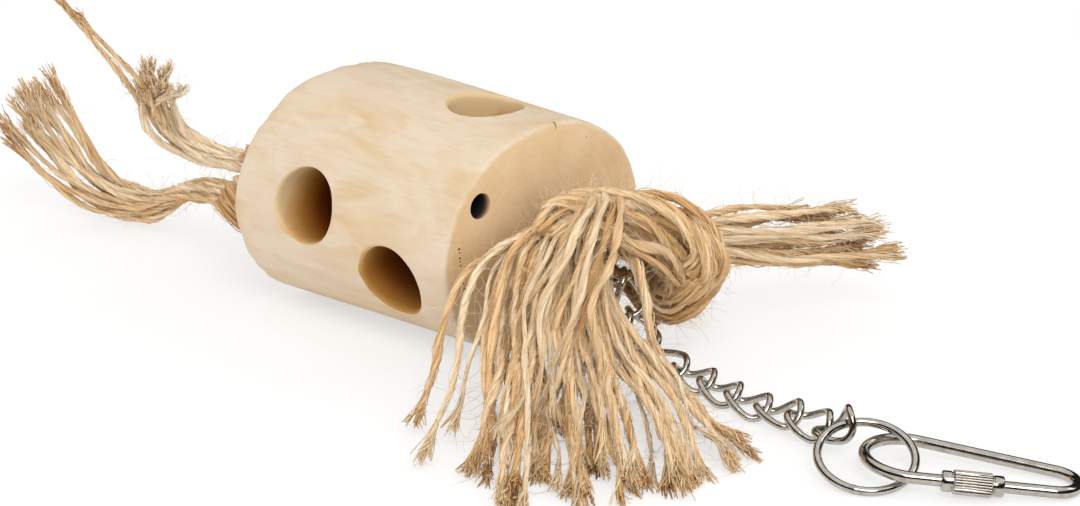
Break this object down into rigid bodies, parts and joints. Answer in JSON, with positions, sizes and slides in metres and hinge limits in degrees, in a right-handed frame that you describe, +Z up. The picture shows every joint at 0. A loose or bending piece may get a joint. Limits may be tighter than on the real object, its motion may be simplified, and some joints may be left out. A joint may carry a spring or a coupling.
{
  "type": "hanging bird toy",
  "caption": "Peeled log with drilled treat holes, a knotted bundle of jute twine at each end and a chain with a ring and a screw link to hang it by, lying on its side.",
  "frame": {"origin": "centre of the underside of the outline box, on the floor that the toy lies on", "axes": "+X along the log from the far knot towards the chain, +Z up"},
  "size_m": [0.4106, 0.1869, 0.1092],
  "materials": {
    "wood": "matt, peeled and sanded",
    "jute": "hairy two-ply twine",
    "chain_steel": "nickel plated, glossy",
    "ring_steel": "nickel plated, glossy",
    "clip_steel": "nickel plated, glossy"
  },
  "bodies": {
    "toy": {"log": "wood", "clip_end_knot": "jute", "front_tassel": "jute", "side_tassel": "jute", "far_knot": "jute", "low_tassel": "jute", "high_tassel": "jute", "core_chain": "chain_steel"},
    "link_1": {"link_1": "chain_steel"},
    "link_2": {"link_2": "chain_steel"},
    "link_3": {"link_3": "chain_steel"},
    "link_4": {"link_4": "chain_steel"},
    "link_5": {"link_5": "chain_steel"},
    "link_6": {"link_6": "chain_steel"},
    "link_7": {"link_7": "chain_steel"},
    "link_8": {"link_8": "chain_steel"},
    "link_9": {"link_9": "chain_steel"},
    "ring": {"ring": "ring_steel"},
    "screw_link": {"screw_link": "clip_steel"},
    "sleeve": {"sleeve": "clip_steel"}
  },
  "joints": [
    {"name": "link_1_swing", "type": "hinge", "parent": "toy", "child": "link_1", "pos_m": [0.0498, 0.00435, 0.03112], "axis": [0, 1, 0], "range_deg": [-20, 20]},
    {"name": "link_2_swing", "type": "hinge", "parent": "link_1", "child": "link_2", "pos_m": [0.05195, 0.00435, 0.01891], "axis": [0.8239, 0.0924, 0.5592], "range_deg": [-20, 20]},
    {"name": "link_3_swing", "type": "hinge", "parent": "link_2", "child": "link_3", "pos_m": [0.05884, 0.00512, 0.00863], "axis": [-0.1167, 0.9932, 0], "range_deg": [-20, 20]},
    {"name": "link_4_swing", "type": "hinge", "parent": "link_3", "child": "link_4", "pos_m": [0.07026, 0.00646, 0.00398], "axis": [0.0326, -0.0062, 0.9995], "range_deg": [-20, 20]},
    {"name": "link_5_swing", "type": "hinge", "parent": "link_4", "child": "link_5", "pos_m": [0.08244, 0.00416, 0.00357], "axis": [0.2538, 0.9673, 0], "range_deg": [-20, 20]},
    {"name": "link_6_swing", "type": "hinge", "parent": "link_5", "child": "link_6", "pos_m": [0.09443, 0.00102, 0.00357], "axis": [0, 0, 1], "range_deg": [-20, 20]},
    {"name": "link_7_swing", "type": "hinge", "parent": "link_6", "child": "link_7", "pos_m": [0.10675, -0.00041, 0.00357], "axis": [0.0628, 0.998, 0], "range_deg": [-20, 20]},
    {"name": "link_8_swing", "type": "hinge", "parent": "link_7", "child": "link_8", "pos_m": [0.119, -0.00118, 0.00532], "axis": [-0.0119, 0.0027, 0.9999], "range_deg": [-20, 20]},
    {"name": "link_9_swing", "type": "hinge", "parent": "link_8", "child": "link_9", "pos_m": [0.13109, -0.00397, 0.00547], "axis": [0.2773, 0.9608, 0], "range_deg": [-20, 20]},
    {"name": "ring_swing", "type": "hinge", "parent": "link_9", "child": "ring", "pos_m": [0.14161, -0.00701, 0.01128], "axis": [0.7638, 0.6455, 0], "range_deg": [-20, 18]},
    {"name": "screw_link_swing", "type": "hinge", "parent": "ring", "child": "screw_link", "pos_m": [0.15637, -0.00935, 0.00605], "axis": [0.6455, -0.7638, 0], "range_deg": [-25, 25]},
    {"name": "sleeve_screw", "type": "slide", "parent": "screw_link", "child": "sleeve", "axis": [0.8027, 0.591, -0.0802], "range_m": [0, 0.01295]}
  ]
}
